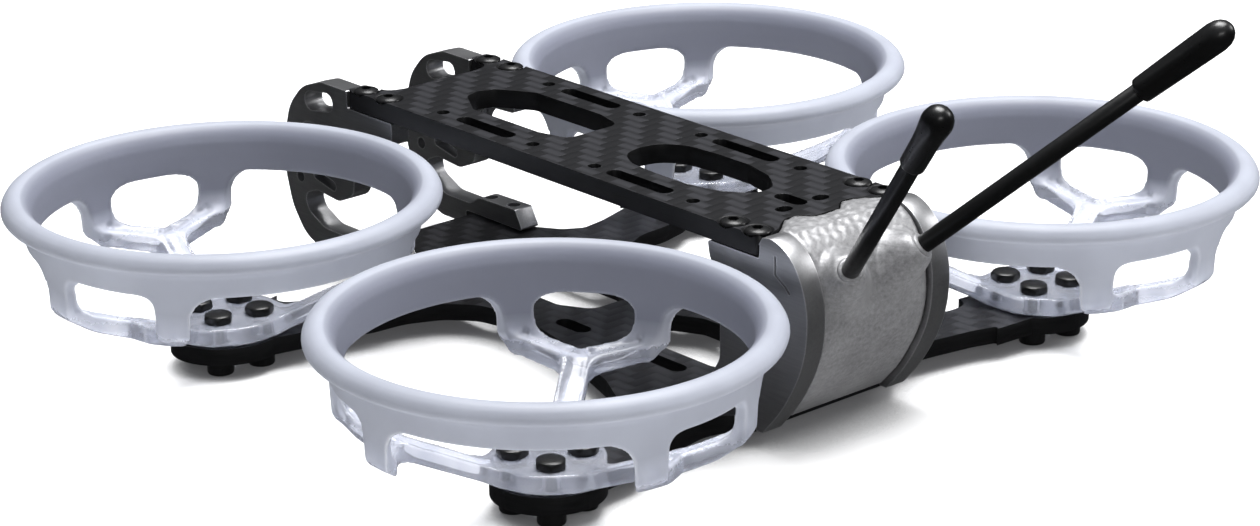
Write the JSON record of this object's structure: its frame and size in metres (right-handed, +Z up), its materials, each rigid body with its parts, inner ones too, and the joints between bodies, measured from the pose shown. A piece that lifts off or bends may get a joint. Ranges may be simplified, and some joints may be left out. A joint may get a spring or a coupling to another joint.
{
  "type": "ducted quadcopter frame",
  "caption": "Ducted quadcopter frame: carbon plates, alloy cage, printed tail cover with antenna tubes, and clear prop guards on its arms.",
  "frame": {"origin": "underside of the bottom plate, at the centre of the four motor positions", "axes": "+Z up, -Y towards the nose, +X towards the left side"},
  "size_m": [0.1531, 0.1487, 0.0604],
  "materials": {
    "carbon_plate": "semi-gloss twill carbon fibre laminate",
    "anodised_alloy": "gunmetal anodised, satin",
    "milky_plastic": "milky translucent moulded plastic",
    "silver_print": "silver-grey printed elastomer with layer lines",
    "black_plastic": "glossy black",
    "black_steel": "black oxide"
  },
  "bodies": {
    "frame": {"bottom_plate": "carbon_plate", "bottom_screw_left_1": "black_steel", "bottom_screw_left_2": "black_steel", "bottom_screw_right_1": "black_steel", "bottom_screw_right_2": "black_steel", "duct_front_left": "milky_plastic", "duct_front_right": "milky_plastic", "duct_nut_front_left_1": "black_steel", "duct_nut_front_left_2": "black_steel", "duct_nut_front_left_3": "black_steel", "duct_nut_front_left_4": "black_steel", "duct_nut_front_right_1": "black_steel", "duct_nut_front_right_2": "black_steel", "duct_nut_front_right_3": "black_steel", "duct_nut_front_right_4": "black_steel", "duct_nut_rear_left_1": "black_steel", "duct_nut_rear_left_2": "black_steel", "duct_nut_rear_left_3": "black_steel", "duct_nut_rear_left_4": "black_steel", "duct_nut_rear_right_1": "black_steel", "duct_nut_rear_right_2": "black_steel", "duct_nut_rear_right_3": "black_steel", "duct_nut_rear_right_4": "black_steel", "duct_rear_left": "milky_plastic", "duct_rear_right": "milky_plastic", "duct_screw_front_left_1": "black_steel", "duct_screw_front_left_2": "black_steel", "duct_screw_front_left_3": "black_steel", "duct_screw_front_left_4": "black_steel", "duct_screw_front_right_1": "black_steel", "duct_screw_front_right_2": "black_steel", "duct_screw_front_right_3": "black_steel", "duct_screw_front_right_4": "black_steel", "duct_screw_rear_left_1": "black_steel", "duct_screw_rear_left_2": "black_steel", "duct_screw_rear_left_3": "black_steel", "duct_screw_rear_left_4": "black_steel", "duct_screw_rear_right_1": "black_steel", "duct_screw_rear_right_2": "black_steel", "duct_screw_rear_right_3": "black_steel", "duct_screw_rear_right_4": "black_steel", "front_side_plate_left": "anodised_alloy", "front_side_plate_right": "anodised_alloy", "rear_side_plate_left": "anodised_alloy", "rear_side_plate_right": "anodised_alloy", "tail_cover": "silver_print", "top_plate": "carbon_plate", "top_screw_left_1": "black_steel", "top_screw_left_2": "black_steel", "top_screw_left_3": "black_steel", "top_screw_left_4": "black_steel", "top_screw_right_1": "black_steel", "top_screw_right_2": "black_steel", "top_screw_right_3": "black_steel", "top_screw_right_4": "black_steel"},
    "antenna_left": {"antenna_tube_left": "black_plastic"},
    "antenna_right": {"antenna_tube_right": "black_plastic"},
    "cap_left": {"antenna_cap_left": "black_plastic"},
    "cap_right": {"antenna_cap_right": "black_plastic"}
  },
  "joints": [
    {"name": "antenna_left_slide", "type": "slide", "parent": "frame", "child": "antenna_left", "axis": [0.3799, 0.657, 0.6512], "range_m": [0, 0.006]},
    {"name": "antenna_right_slide", "type": "slide", "parent": "frame", "child": "antenna_right", "axis": [-0.3808, 0.6587, 0.649], "range_m": [0, 0.006]},
    {"name": "cap_left_slide", "type": "slide", "parent": "antenna_left", "child": "cap_left", "axis": [0.3799, 0.657, 0.6512], "range_m": [0, 0.009]},
    {"name": "cap_right_slide", "type": "slide", "parent": "antenna_right", "child": "cap_right", "axis": [-0.3808, 0.6587, 0.649], "range_m": [0, 0.009]}
  ]
}
